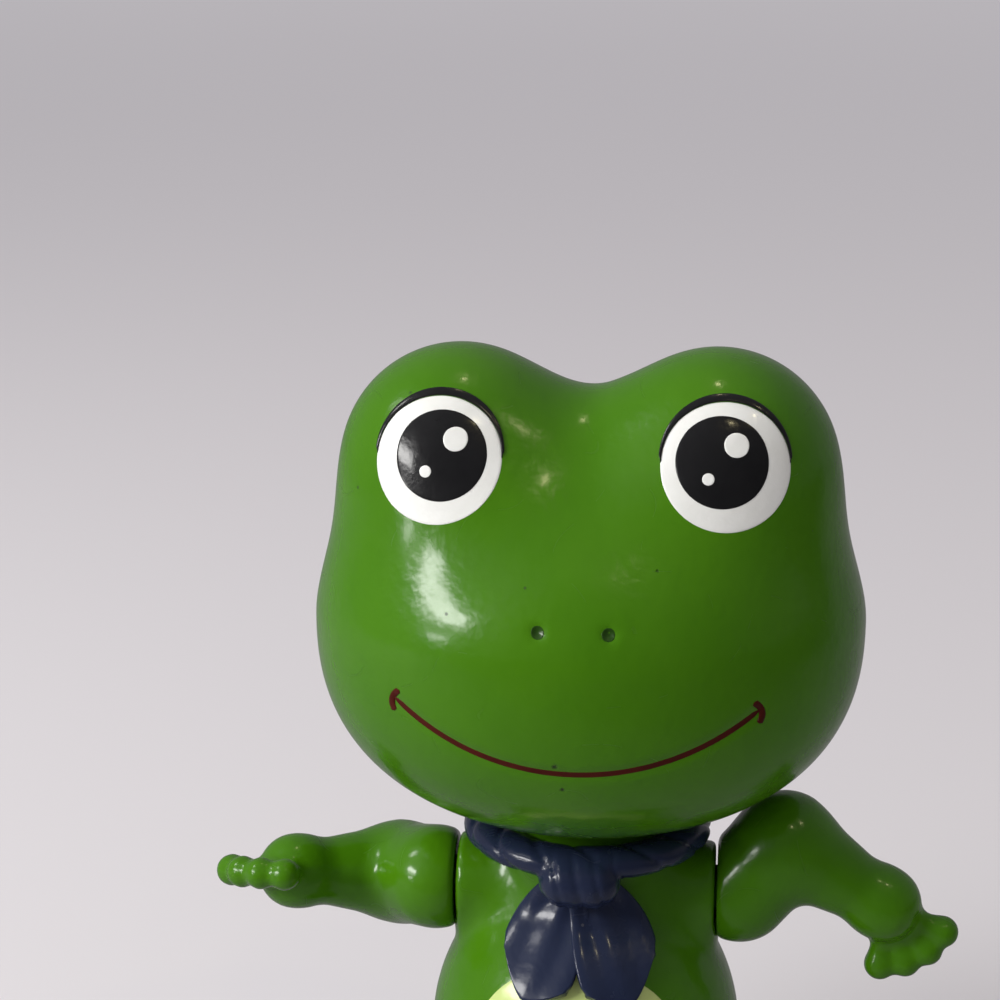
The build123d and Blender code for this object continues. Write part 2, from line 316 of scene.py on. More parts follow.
@dataclass(frozen=True)
class Trimmed(Carved):
    """A form cut flat by a plane, with a rounded edge. What lies along the normal is cut away."""

    point: Point
    normal: Point
    edge: float

    def distance(self, points: Array) -> Array:
        """The distance of each point from what is left."""
        plane = (points - np.array(self.point)) @ np.array(self.normal)
        return -soft_union(-self.form.distance(points), -plane, self.edge)


@dataclass(frozen=True)
class Grooved(Carved):
    """A form whose surface is drawn in where a pattern says."""

    depth: Callable[[Array], Array]

    def distance(self, points: Array) -> Array:
        """The distance of each point from the drawn-in form."""
        return self.form.distance(points) + self.depth(points)


def arc_through(first: Point, middle: Point, last: Point, count: int) -> list[tuple[float, float]]:
    """Points on the arc through three flat points.

    Args:
        first: Where the arc starts.
        middle: A point that it passes.
        last: Where it ends.
        count: How many spans it is cut into.

    Returns:
        The points, the first and the last among them.
    """
    (ax, ay), (bx, by), (cx, cy) = first, middle, last
    scale = 2 * (ax * (by - cy) + bx * (cy - ay) + cx * (ay - by))
    a, b, c = ax**2 + ay**2, bx**2 + by**2, cx**2 + cy**2
    x = (a * (by - cy) + b * (cy - ay) + c * (ay - by)) / scale
    y = (a * (cx - bx) + b * (ax - cx) + c * (bx - ax)) / scale
    radius = sqrt((ax - x) ** 2 + (ay - y) ** 2)
    start, end = atan2(ay - y, ax - x), atan2(cy - y, cx - x)
    sweep = (end - start) % (2 * pi)
    if (atan2(by - y, bx - x) - start) % (2 * pi) > sweep:
        sweep -= 2 * pi
    turns = [start + sweep * step / count for step in range(count + 1)]
    return [(x + radius * cos(turn), y + radius * sin(turn)) for turn in turns]


def spin_outline(bm: BMesh, outline: Sequence[Point], centre: Point = (0, 0, 0), steps: int = 64) -> None:
    """Spins an outline of (radius, height) points all the way round Z.

    Args:
        bm: The mesh that gets the spun shape.
        outline: The points. A closed tube's last point is its first.
        centre: Where the axis stands.
        steps: How many spans go round.
    """
    verts = [bm.verts.new((centre[0] + r, centre[1], centre[2] + z)) for r, z in outline]
    edges = [bm.edges.new(pair) for pair in zip(verts[:-1], verts[1:])]
    bmesh.ops.spin(
        bm, geom=verts + edges, cent=centre, axis=(0, 0, 1), angle=2 * pi, steps=steps, use_merge=True
    )
    bmesh.ops.remove_doubles(bm, verts=bm.verts, dist=1e-4)


def stepped(bore: float, *steps: tuple[float, float, float]) -> list[tuple[float, float]]:
    """The closed outline of a tube that changes its outer radius in steps.

    Args:
        bore: The radius of its hole.
        steps: Each step's radius, start and end.

    Returns:
        The (radius, height) points, the first one again at the end.
    """
    rims = [(radius, height) for radius, *ends in steps for height in ends]
    start = (bore, steps[0][1])
    return [start, *rims, (bore, steps[-1][2]), start]


def add_mesh(bm: BMesh, other: BMesh) -> None:
    """Adds another mesh to a mesh, and uses the other one up."""
    mesh = bpy.data.meshes.new("other")
    other.to_mesh(mesh)
    other.free()
    bm.from_mesh(mesh)
    bpy.data.meshes.remove(mesh)


def new_object(name: str, bm: BMesh) -> bpy.types.Object:
    """Puts a mesh into the scene as an object."""
    mesh = bpy.data.meshes.new(name)
    bm.to_mesh(mesh)
    item = bpy.data.objects.new(name, mesh)
    bpy.context.collection.objects.link(item)
    return item


def move_verts(bm: BMesh, points: Array) -> None:
    """Puts a mesh's vertices on new points, in their order."""
    for vert, point in zip(bm.verts, points):
        vert.co = point


def places(bm: BMesh) -> Array:
    """The places of a mesh's vertices, one in each row."""
    return np.array([vert.co[:] for vert in bm.verts])


def even_out(bm: BMesh, form: Form, rounds: int = 3) -> None:
    """Evens out a mesh and settles it onto its form again, both in each round."""
    for _ in range(rounds):
        bmesh.ops.smooth_vert(
            bm, verts=bm.verts, factor=0.5, use_axis_x=True, use_axis_y=True, use_axis_z=True
        )
        move_verts(bm, form.settle(places(bm)))


def skin(form: Form, voxel: float) -> BMesh:
    """An even closed mesh on a form's surface.

    Args:
        form: The form.
        voxel: About how wide a face is, in millimetres.

    Returns:
        The mesh, in millimetres.
    """
    bm = bmesh.new()
    form.rough(bm)
    rough = new_object("rough", bm)
    mesh = rough.data
    remesh = rough.modifiers.new("even", "REMESH")
    remesh.mode = "VOXEL"
    remesh.voxel_size = voxel
    graph = bpy.context.evaluated_depsgraph_get()
    bm.clear()
    bm.from_mesh(rough.evaluated_get(graph).to_mesh())
    bpy.data.objects.remove(rough)
    bpy.data.meshes.remove(mesh)
    move_verts(bm, form.settle(places(bm)))
    even_out(bm, form)
    return bm


def globe(form: Form, centre: Point, cuts: int, reach: float = 90.0, halvings: int = 24) -> BMesh:
    """A closed mesh of even four-sided faces on a form that can be seen whole from its centre.

    Args:
        form: The form.
        centre: The point from which it can be seen.
        cuts: How many cuts each side of the starting cube gets.
        reach: How far from the centre the surface may be.
        halvings: How often the span in which the surface lies is halved.

    Returns:
        The mesh, in millimetres.
    """
    bm = bmesh.new()
    bmesh.ops.create_cube(bm, size=2)
    bmesh.ops.subdivide_edges(bm, edges=bm.edges, cuts=cuts, use_grid_fill=True)
    ways = np.tan(places(bm) * (pi / 4))
    ways /= np.linalg.norm(ways, axis=1)[:, None]
    near, far = np.zeros(len(ways)), np.full(len(ways), reach)
    for _ in range(halvings):
        middle = (near + far) / 2
        inside = form.distance(np.array(centre) + ways * middle[:, None]) < 0
        near, far = np.where(inside, middle, near), np.where(inside, far, middle)
    move_verts(bm, np.array(centre) + ways * near[:, None])
    even_out(bm, form)
    return bm


def sheet_on(form: Form, way: Point, drawing: Drawing, lift: Drawing, columns: int, rows: int) -> BMesh:
    """A thin sheet drawn on a form, such as a coat of paint.

    Args:
        form: The form that carries the sheet.
        way: The way in which the drawing is pressed onto the form, one long.
        drawing: Gives the starts of the points from across and up, each from -1 to 1.
        lift: Gives how far each point stands off the form, from the same two.
        columns: How many faces lie across the sheet.
        rows: How many faces lie up the sheet.

    Returns:
        The sheet's mesh, in millimetres, one face thick.
    """
    bm = bmesh.new()
    bmesh.ops.create_grid(bm, x_segments=columns, y_segments=rows, size=1)
    flat = places(bm)
    starts, lifts = drawing(flat[:, 0], flat[:, 1]), lift(flat[:, 0], flat[:, 1])
    move_verts(bm, form.landing(starts, way, lifts))
    return bm


def disc_of(across: Array, up: Array) -> tuple[Array, Array]:
    """Bends a square of points into a round disc of radius 1."""
    return across * np.sqrt(1 - up**2 / 2), up * np.sqrt(1 - across**2 / 2)


def in_front(x: Array, away: float, z: Array) -> Array:
    """Points at places across and up, some way in front of the frog."""
    return np.stack([x, np.full(len(x), -away), z], axis=1)


def front_disc(middle: Point, radii: Point, away: float) -> Drawing:
    """The drawing of a round or oval dot that is pressed on from the front.

    Args:
        middle: How far across and how high its middle is.
        radii: Its half width and its half height.
        away: How far in front of the frog its points start.

    Returns:
        The drawing.
    """

    def drawing(across: Array, up: Array) -> Array:
        """Starts of the dot's points."""
        x, z = disc_of(across, up)
        return in_front(middle[0] + radii[0] * x, away, middle[1] + radii[1] * z)

    return drawing


def flat_coat(coat: float, coats: float = 1.0, drop: float = 0.6, power: float = 24) -> Drawing:
    """The lift of an even coat of paint with a thin rounded edge.

    Args:
        coat: How thick one coat is.
        coats: How many coats high the paint stands.
        drop: How many coats lower its edge is.
        power: How near the edge the drop begins. More is nearer.

    Returns:
        The lift.
    """
    return lambda across, up: coat * (coats - drop * np.maximum(np.abs(across), np.abs(up)) ** power)


def ridge(coat: float, coats: float) -> Drawing:
    """The lift of a brushed line, from how thick a coat is and how many coats high its middle is."""
    return lambda along, over: coat * (coats - over**2)


class Value:
    """A number in a material, on which Python's arithmetic adds Math nodes."""

    def __init__(self, tree: bpy.types.NodeTree, socket: bpy.types.NodeSocket) -> None:
        """Wraps an output socket.

        Args:
            tree: The material's nodes.
            socket: The socket that gives the number.
        """
        self.tree = tree
        self.socket = socket

    def _math(self, operation: str, first: Value | float, second: Value | float) -> Value:
        """Adds one Math node.

        Args:
            operation: The node's operation.
            first: Its first number.
            second: Its second number.

        Returns:
            The node's result.
        """
        node = self.tree.nodes.new("ShaderNodeMath")
        node.operation = operation
        for socket, value in zip(node.inputs, (first, second)):
            if isinstance(value, Value):
                self.tree.links.new(value.socket, socket)
            else:
                socket.default_value = value
        return Value(self.tree, node.outputs[0])

    def __add__(self, other: Value | float) -> Value:
        """This number plus another."""
        return self._math("ADD", self, other)

    def __radd__(self, other: float) -> Value:
        """Another number plus this one."""
        return self._math("ADD", other, self)

    def __sub__(self, other: Value | float) -> Value:
        """This number minus another."""
        return self._math("SUBTRACT", self, other)

    def __rsub__(self, other: float) -> Value:
        """Another number minus this one."""
        return self._math("SUBTRACT", other, self)

    def __mul__(self, other: Value | float) -> Value:
        """This number times another."""
        return self._math("MULTIPLY", self, other)

    def __rmul__(self, other: float) -> Value:
        """Another number times this one."""
        return self._math("MULTIPLY", other, self)

    def __lt__(self, other: Value | float) -> Value:
        """1 where this number is less than another, and otherwise 0."""
        return self._math("LESS_THAN", self, other)

    def __gt__(self, other: Value | float) -> Value:
        """1 where this number is more than another, and otherwise 0."""
        return self._math("GREATER_THAN", self, other)

    def absolute(self) -> Value:
        """This number without its sign."""
        return self._math("ABSOLUTE", self, 0.0)

    def larger(self, other: Value | float) -> Value:
        """The larger of this number and another."""
        return self._math("MAXIMUM", self, other)


class Shader:
    """A new material and its nodes."""

    def __init__(self, name: str) -> None:
        """Starts a material with a surface shader.

        Args:
            name: The material's name.
        """
        self.material = bpy.data.materials.new(name)
        self.material.use_nodes = True
        self.tree = self.material.node_tree
        self.surface = self.tree.nodes["Principled BSDF"]
        self.spot = self.node("ShaderNodeTexCoord").outputs["Object"]

    def node(
        self, kind: str, settings: dict[str, object] | None = None, sockets: dict[str, object] | None = None
    ) -> bpy.types.Node:
        """Adds a node.

        Args:
            kind: The node's type.
            settings: The node's own settings, which are set first.
            sockets: A value or a link for each named socket.

        Returns:
            The node.
        """
        node = self.tree.nodes.new(kind)
        for name, value in (settings or {}).items():
            setattr(node, name, value)
        for name, value in (sockets or {}).items():
            self.feed(node.inputs[name], value)
        return node

    def feed(self, socket: bpy.types.NodeSocket, value: object) -> None:
        """Gives a socket a link or a value."""
        if isinstance(value, Value):
            value = value.socket
        if isinstance(value, bpy.types.NodeSocket):
            self.tree.links.new(value, socket)
        else:
            socket.default_value = value

    def noise(self, scale: float, detail: float = 2.0, roughness: float = 0.5) -> Value:
        """Soft random spots over the piece.

        Args:
            scale: How many spots fit in a metre.
            detail: How many finer layers are added.
            roughness: How strong the finer layers are.

        Returns:
            A number around 0.5.
        """
        sockets = {"Vector": self.spot, "Scale": scale, "Detail": detail, "Roughness": roughness}
        return Value(self.tree, self.node("ShaderNodeTexNoise", sockets=sockets).outputs[0])

    def depth(self) -> Value:
        """How far back a point of the piece is, in metres."""
        split = self.node("ShaderNodeSeparateXYZ", sockets={"Vector": self.spot})
        return Value(self.tree, split.outputs["Y"])

    def measure(self, operation: str, other: Point) -> Value:
        """A measure between a point of the piece and another point or a way, in metres."""
        node = self.node("ShaderNodeVectorMath", {"operation": operation})
        self.feed(node.inputs[0], self.spot)
        self.feed(node.inputs[1], other)
        return Value(self.tree, node.outputs["Value"])

    def along(self, way: Point) -> Value:
        """How far along a way a point of the piece is, in metres."""
        return self.measure("DOT_PRODUCT", way)

    def distance_to(self, place: Point) -> Value:
        """How far a point of the piece is from a place, in metres."""
        return self.measure("DISTANCE", place)

    def hairlines(self, scale: float, width: float, share: float, break_scale: float) -> Value:
        """Fine bent scratches, where a soft random pattern crosses its middle.

        Args:
            scale: How many bends fit in a metre.
            width: How wide they are, as a share of the pattern's range.
            share: About how much of their length is left out.
            break_scale: How many breaks fit in a metre.

        Returns:
            1 on a scratch, and otherwise 0.
        """
        line = (self.noise(scale, 0.0) - 0.5).absolute() < width
        return line * (self.noise(break_scale, 1.0) > share)

    def specks(self, scale: float, size: float, share: float) -> Value:
        """Small scattered specks.

        Args:
            scale: How many cells fit in a metre, each with one speck or none.
            size: A speck's radius as a share of a cell.
            share: The share of cells that have a speck.

        Returns:
            1 on a speck, and otherwise 0.
        """
        cells = self.node("ShaderNodeTexVoronoi", sockets={"Vector": self.spot, "Scale": scale})
        split = self.node("ShaderNodeSeparateColor", sockets={"Color": cells.outputs["Color"]})
        chosen = Value(self.tree, split.outputs[0]) < share
        return (Value(self.tree, cells.outputs["Distance"]) < size) * chosen

    def mix(self, share: Value, first: object, second: object) -> bpy.types.NodeSocket:
        """Mixes two colours.

        Args:
            share: How much of the second colour shows.
            first: A colour or a link.
            second: A colour or a link.

        Returns:
            The link with the mixed colour.
        """
        node = self.node("ShaderNodeMix", {"data_type": "RGBA", "clamp_factor": True})
        self.feed(node.inputs[0], share)
        self.feed(node.inputs[6], first)
        self.feed(node.inputs[7], second)
        return node.outputs[2]

    def bump(self, height: Value, reach: float) -> None:
        """Makes the surface uneven.

        Args:
            height: The height, from 0 to 1.
            reach: How far 1 stands out, in metres.
        """
        node = self.node("ShaderNodeBump", sockets={"Height": height, "Distance": reach, "Strength": 1.0})
        self.feed(self.surface.inputs["Normal"], node.outputs[0])

    def set(self, name: str, value: object) -> None:
        """Gives one of the surface shader's sockets a link or a value."""
        self.feed(self.surface.inputs[name], value)


def seen_directly(tree: bpy.types.NodeTree, dimmed: Value, otherwise: float = 0.0) -> Value:
    """How much the camera sees of this, itself or through a reflection.

    Args:
        tree: The nodes of what is seen.
        dimmed: The share that reflections lose.
        otherwise: How much of it lights the object.

    Returns:
        1 for the camera, and less for a reflection and for light.
    """
    paths = tree.nodes.new("ShaderNodeLightPath")
    camera, glossy, clear = (
        Value(tree, paths.outputs[name]) for name in ("Is Camera Ray", "Is Glossy Ray", "Is Transmission Ray")
    )
    direct = camera.larger(clear)
    return direct.larger(glossy * (1.0 - dimmed)) + (1.0 - direct.larger(glossy)) * otherwise


@dataclass(frozen=True)
class Vinyl:
    """Glossy soft vinyl with orange peel, clouds, specks, scratches, nicks and a parting line."""

    name: str
    colour: Colour
    cloud: Colour
    speck: Colour
    gloss: float = 0.22
    coat: float = 0.25
    reflection: float = 0.28
    peel: float = 0.00006
    seam_back: float = 0.002
    seam_half_width: float = 0.00012
    ragged_edge: float = 0.0006
    fine_scale: float = 2400.0
    nicks: tuple[tuple[Point, float], ...] = ()

    def nicked(self, shader: Shader) -> Value:
        """How deep the nicks are, from 0 to 1 in their middles."""
        ragged = (shader.noise(self.fine_scale, 2.0, 0.6) - 0.5) * self.ragged_edge
        depth = ragged * 0.0
        for place, radius in self.nicks:
            depth = depth.larger(1.0 - (shader.distance_to(place) + ragged) * (1 / radius))
        return depth

    def material(self) -> bpy.types.Material:
        """Makes the material."""
        shader = Shader(self.name)
        clouds = shader.noise(55, 3.0, 0.6)
        specks = shader.specks(260, 0.07, 0.16)
        scratches = shader.hairlines(80, 0.004, 0.56, 208)
        nicks = self.nicked(shader)
        colour = shader.mix((clouds - 0.35) * 1.6, self.colour, self.cloud)
        dirt = (specks * 0.7).larger(nicks * 1.5)
        shader.set("Base Color", shader.mix(dirt, colour, self.speck))
        smears = shader.noise(120, 4.0, 0.65)
        shader.set("Roughness", self.gloss + (smears - 0.5) * 0.14 + specks * 0.3 + scratches * 0.1)
        shader.set("Coat Weight", self.coat + (clouds - 0.5) * 0.3)
        shader.set("Coat Roughness", 0.1)
        shader.set("Specular IOR Level", self.reflection)
        seam = ((shader.depth() - self.seam_back).absolute() < self.seam_half_width) * 0.5
        peel = shader.noise(700, 1.0, 0.4)
        for scale, share in ((190, 1.5), (self.fine_scale, 0.15)):
            peel = peel + shader.noise(scale, 1.0, 0.4) * share
        shader.bump(peel + seam + specks * 0.6 - scratches * 0.5 - nicks * 2.5, self.peel)
        return shader.material


@dataclass(frozen=True)
class Paint:
    """A thin sprayed or brushed coat of gloss paint."""

    name: str
    colour: Colour
    worn: Colour
    gloss: float = 0.22
    coat: float = 0.25
    reflection: float = 0.28

    def material(self) -> bpy.types.Material:
        """Makes the material."""
        shader = Shader(self.name)
        clouds = shader.noise(160, 3.0, 0.6)
        specks = shader.specks(500, 0.06, 0.12)
        colour = shader.mix((clouds - 0.4) * 1.4, self.colour, self.worn)
        shader.set("Base Color", shader.mix(specks * 0.6, colour, self.worn))
        shader.set("Roughness", self.gloss + (shader.noise(260, 3.0, 0.6) - 0.5) * 0.16)
        shader.set("Coat Weight", self.coat)
        shader.set("Coat Roughness", 0.08)
        shader.set("Specular IOR Level", self.reflection)
        shader.bump(shader.noise(800, 2.0, 0.5) + specks * 0.5, 0.00005)
        return shader.material


class Finish(Enum):
    """The figurine's finishes."""

    GREEN = Vinyl(
        "green_vinyl",
        (0.047, 0.163, 0.002, 1),
        (0.060, 0.188, 0.0035, 1),
        (0.015, 0.035, 0.006, 1),
        nicks=(
            ((-0.0025, -0.0364, 0.0898), 0.0006),
            ((-0.0015, -0.0348, 0.0856), 0.0005),
            ((0.0119, -0.0306, 0.1188), 0.0003),
        ),
    )
    NAVY = Vinyl("navy_vinyl", (0.012, 0.018, 0.045, 1), (0.02, 0.027, 0.06, 1), (0.08, 0.08, 0.09, 1), 0.26)
    WHITE = Paint("white_paint", (0.78, 0.79, 0.77, 1), (0.68, 0.69, 0.65, 1))
    BLACK = Paint("black_paint", (0.008, 0.008, 0.009, 1), (0.014, 0.014, 0.015, 1))
    RED = Paint("dark_red_paint", (0.055, 0.006, 0.003, 1), (0.095, 0.010, 0.005, 1), 0.42, 0.05, 0.12)
    SHADE = Paint("dark_green_paint", (0.015, 0.05, 0.004, 1), (0.03, 0.08, 0.008, 1), 0.3)
    PALE = Paint("pale_green_paint", (0.55, 0.66, 0.24, 1), (0.48, 0.60, 0.18, 1))


class Workshop:
    """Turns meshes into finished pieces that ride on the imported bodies."""

    paint_thickness: float = 0.2

    def __init__(self) -> None:
        """Makes each finish once."""
        self.materials = {finish: finish.value.material() for finish in Finish}

    def piece(
        self,
        name: str,
        bm: BMesh,
        body: str,
        node: str,
        finish: Finish,
        levels: int = 0,
        thickness: float = 0.0,
    ) -> None:
        """Makes one finished piece.

        Args:
            name: The piece's name.
            bm: Its mesh in millimetres, which is used up.
            body: The body that it moves with.
            node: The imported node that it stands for.
            finish: Its finish.
            levels: How often it is subdivided.
            thickness: How thick a sheet becomes, in millimetres, towards what carries it.
        """
        bmesh.ops.scale(bm, vec=(MM, MM, MM), verts=bm.verts)
        if not thickness:
            bmesh.ops.recalc_face_normals(bm, faces=bm.faces)
        for face in bm.faces:
            face.smooth = True
        piece = new_object(name, bm)
        bm.free()
        piece.data.materials.append(self.materials[finish])
        if thickness:
            solidify = piece.modifiers.new("thickness", "SOLIDIFY")
            solidify.thickness = thickness * MM
            solidify.offset = -1
        if levels:
            smooth = piece.modifiers.new("smooth", "SUBSURF")
            smooth.levels = levels
            smooth.render_levels = levels
        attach(piece, body)
        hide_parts(node)
        log.info("%s: %d faces on %s", name, len(piece.data.polygons), body)

    def moulding(self, body: str, bm: BMesh, levels: int = 1) -> None:
        """Makes a body's green moulding."""
        self.piece(f"{body}_moulding", bm, body, body, Finish.GREEN, levels)

    def paint(
        self, what: str, bm: BMesh, finish: Finish, node: str = "", body: str = "head", levels: int = 1
    ) -> None:
        """Makes one coat of paint.

        Args:
            what: What is painted.
            bm: The coat's mesh.
            finish: Its finish.
            node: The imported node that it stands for, if that has another name.
            body: The body that it moves with.
            levels: How often it is subdivided.
        """
        self.piece(f"{what}_paint", bm, body, node or what, finish, levels, self.paint_thickness)


@dataclass(frozen=True)
class Head:
    """The head: a bun, two eye mounds and a brow, with a drawn-in mouth and nostrils."""

    middle: float = 102.5
    half_width: float = 44.0
    half_depth: float = 38.0
    rise: float = 30.0
    drop: float = 34.0
    crown_power: float = 2.0
    jaw_power: float = 2.4
    mound_radius: float = 19.0
    mound_spacing: float = 20.0
    mound_forward: float = 5.0
    mound_rise: float = 25.5
    brow_radius: float = 13.0
    brow_drop: float = 2.0
    blend: float = 13.0
    brow_blend: float = 7.5
    cuts: int = 95
    seen_from: Point = (0, -2, 105.5)
    neck_top: float = 66.0
    collar_radius: float = 12.4
    stem_radius: float = 8.0
    flange_radius: float = 9.9
    bore_radius: float = 5.6
    flange_base: float = 61.1
    flange_top: float = 63.3
    joint_gap: float = 0.3
    collar_sink: float = 2.4
    mouth_half_width: float = 27.0
    mouth_corner: float = 97.0
    mouth_sag: float = 8.6
    mouth_width: float = 1.0
    smile_reach: float = 1.018
    groove_depth: float = 0.35
    groove_width: float = 0.9
    dimple_height: float = 3.6
    dimple_lean: float = 0.8
    nostril_spacing: float = 5.2
    nostril_height: float = 110.5
    nostril_radius: float = 1.0
    nostril_depth: float = 0.5

    def mound(self, side: Side) -> tuple[float, float, float]:
        """The middle of a side's eye mound."""
        return (side.value * self.mound_spacing, -self.mound_forward, self.middle + self.mound_rise)

    def smile_radius(self) -> float:
        """The radius of the mouth's arc."""
        half, sag = self.mouth_half_width, self.mouth_sag
        return (half**2 + sag**2) / (2 * sag)

    def smile(self, share: Array) -> tuple[Array, Array]:
        """The mouth's line.

        Args:
            share: Places along it, from -1 at the right corner to 1 at the left one.

        Returns:
            How far across and how high those places are.
        """
        radius = self.smile_radius()
        turn = share * self.smile_reach * np.arcsin(self.mouth_half_width / radius)
        return radius * np.sin(turn), self.mouth_corner - self.mouth_sag + radius * (1 - np.cos(turn))

    def hollows(self, points: Array) -> Array:
        """How deep the mouth's groove and the nostrils are at each point of the face."""
        x, z = points[:, 0], points[:, 2]
        radius = self.smile_radius()
        off_line = np.hypot(x, z - (self.mouth_corner - self.mouth_sag + radius)) - radius
        past_end = np.maximum(np.abs(x) - self.mouth_half_width, 0)
        low = np.clip((self.middle - z) / 2, 0, 1)
        groove = np.exp(-((np.hypot(off_line, past_end) / self.groove_width) ** 2)) * low
        depth = self.groove_depth * groove
        for side in Side:
            away = np.hypot(x - side.value * self.nostril_spacing, z - self.nostril_height)
            depth = depth + self.nostril_depth * np.exp(-((away / self.nostril_radius) ** 2))
        return depth * (points[:, 1] < 0)

    def plain_form(self) -> Form:
        """The head's form without the drawn-in lines."""
        sizes = (self.half_width, self.half_depth, self.rise, self.drop, self.crown_power, self.jaw_power)
        bun = Bun((0, 0, self.middle), *sizes)
        brow_height = self.middle + self.mound_rise - self.brow_drop
        ends = [(side.value * self.mound_spacing, -self.mound_forward, brow_height) for side in Side]
        brow = Taper(ends[0], ends[1], self.brow_radius, self.brow_radius)
        mounds = [Ball(self.mound(side), self.mound_radius) for side in Side]
        crown = Joined((brow, *mounds), self.brow_blend)
        return Joined((bun, crown), self.blend)

    def form(self) -> Form:
        """The head's whole form."""
        return Grooved(self.plain_form(), self.hollows)

    def neck_tube(self, bm: BMesh) -> None:
        """Adds the collar, the stem and its flange under the chin."""
        collar_base = self.neck_top + self.joint_gap
        collar_top = self.middle - self.drop + self.collar_sink
        outline = stepped(
            self.bore_radius,
            (self.flange_radius, self.flange_base, self.flange_top),
            (self.stem_radius, self.flange_top, collar_base),
            (self.collar_radius, collar_base, collar_top),
        )
        tube = bmesh.new()
        spin_outline(tube, outline)
        bmesh.ops.recalc_face_normals(tube, faces=tube.faces)
        sharp = [e for e in tube.edges if len(e.link_faces) == 2 and e.calc_face_angle() > radians(60)]
        bmesh.ops.bevel(
            tube, geom=sharp, offset=self.joint_gap, segments=2, profile=0.5, affect="EDGES", material=-1
        )
        add_mesh(bm, tube)

    def build(self, workshop: Workshop) -> None:
        """Builds the head's moulding."""
        bm = globe(self.form(), self.seen_from, self.cuts)
        self.neck_tube(bm)
        workshop.moulding("head", bm, 0)


@dataclass(frozen=True)
class Eye:
    """A painted eye on its mound: a white disc, a lid line, a pupil and two glints."""

    side: Side
    head: Head
    radius: float = 9.8
    tilt: float = 15.0
    splay: float = 5.0
    pupil_radius: float = 7.0
    pupil_rise: float = 0.7
    pupil_inward: float = 0.6
    glint_radius: float = 1.9
    glint_reach: float = 3.3
    glint_turn: float = 50.0
    small_glint_radius: float = 0.95
    lid_width: float = 1.2
    lid_coats: float = 1.4
    pupil_coats: float = 2.2
    glint_coats: float = 3.4
    coat: float = 0.07
    away: float = 45.0

    def axes(self) -> tuple[Array, Array, Array]:
        """The eye's own right, up and outward ways."""
        splay, tilt = radians(self.splay), radians(self.tilt)
        sign = self.side.value
        across = np.array([cos(splay), sign * sin(splay), 0])
        gaze = np.array([sign * sin(splay) * cos(tilt), -cos(splay) * cos(tilt), sin(tilt)])
        return across, np.cross(gaze, across), gaze

    def starts(self, across: Array, up: Array) -> Array:
        """The starts of points that are pressed onto the mound.

        Args:
            across: How far right of the eye's middle they are.
            up: How far above it they are.

        Returns:
            The starts, in front of the face.
        """
        right, top, gaze = self.axes()
        middle = np.array(self.head.mound(self.side)) + gaze * self.away
        return middle + across[:, None] * right + up[:, None] * top

    def disc(self, middle: tuple[float, float], radius: float, coats: float, faces: int) -> BMesh:
        """A round dot of paint.

        Args:
            middle: Where it is, right of and above the eye's middle.
            radius: Its radius.
            coats: How many coats of paint it stands above the mound.
            faces: How many faces it has each way.

        Returns:
            Its mesh.
        """

        def drawing(across: Array, up: Array) -> Array:
            """Starts of the dot's points."""
            x, y = disc_of(across, up)
            return self.starts(middle[0] + radius * x, middle[1] + radius * y)

        lift = flat_coat(self.coat, coats)
        return sheet_on(self.head.form(), -self.axes()[2], drawing, lift, faces, faces)

    def lid(self) -> BMesh:
        """The tapering line over the white."""
        reach = np.arccos(self.lid_width / 2 / self.radius)

        def drawing(across: Array, up: Array) -> Array:
            """Starts of the line's points."""
            turn = pi / 2 + across * reach
            low = self.radius * np.stack([np.cos(turn), np.sin(turn)], axis=1)
            high_turn = np.arcsin(np.clip(np.cos(turn), -1, 1))
            high = self.radius * np.stack([np.sin(high_turn), np.cos(high_turn)], axis=1)
            share = (up + 1) / 2
            edge = low[:, 1] + share * (high[:, 1] + self.lid_width - low[:, 1])
            return self.starts(low[:, 0], edge)

        return sheet_on(self.head.form(), -self.axes()[2], drawing, ridge(self.coat, self.lid_coats), 96, 6)

    def build(self, workshop: Workshop) -> None:
        """Builds the eye's coats of paint."""
        word = self.side.word
        pupil = (-self.side.value * self.pupil_inward, self.pupil_rise)
        workshop.paint(f"{word}_eye_white", self.disc((0, 0), self.radius, 1.0, 48), Finish.WHITE)
        workshop.paint(f"{word}_lid_line", self.lid(), Finish.BLACK)
        black = self.disc(pupil, self.pupil_radius, self.pupil_coats, 40)
        workshop.paint(f"{word}_pupil", black, Finish.BLACK)
        turn = radians(self.glint_turn)
        shift = Vector((cos(turn), sin(turn))) * self.glint_reach
        glints = (("glint", 1, self.glint_radius, 20), ("small_glint", -1, self.small_glint_radius, 12))
        for kind, sign, radius, faces in glints:
            middle = (pupil[0] + sign * shift[0], pupil[1] + sign * shift[1])
            dot = self.disc(middle, radius, self.glint_coats, faces)
            workshop.paint(f"{word}_{kind}", dot, Finish.WHITE, f"{word}_glints")


